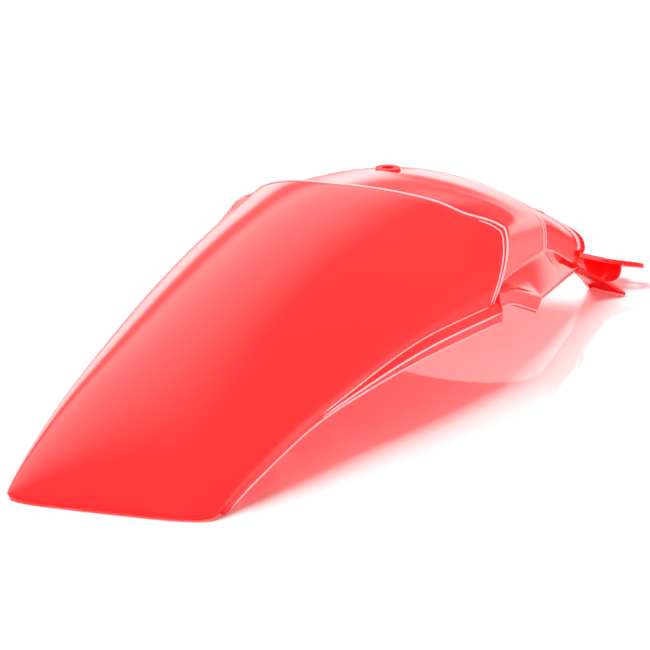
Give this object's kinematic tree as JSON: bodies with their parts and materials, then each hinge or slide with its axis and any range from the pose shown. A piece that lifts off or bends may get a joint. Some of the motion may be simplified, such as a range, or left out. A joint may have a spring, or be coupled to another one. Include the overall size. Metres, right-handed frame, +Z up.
{
  "type": "motorcycle rear fender",
  "caption": "Moulded off-road motorcycle rear fender with an arched tail, a seat lip, side wings and ears for its frame bolts.",
  "frame": {"origin": "middle of the bounding box, on the plane that the rear edge and the two front feet rest on", "axes": "+X forward along the length to the frame mounts, +Y to the rider's left, +Z up"},
  "size_m": [0.725, 0.245, 0.133],
  "materials": {
    "fender_plastic": "gloss"
  },
  "bodies": {
    "root": {"rear_fender": "fender_plastic"}
  },
  "joints": []
}
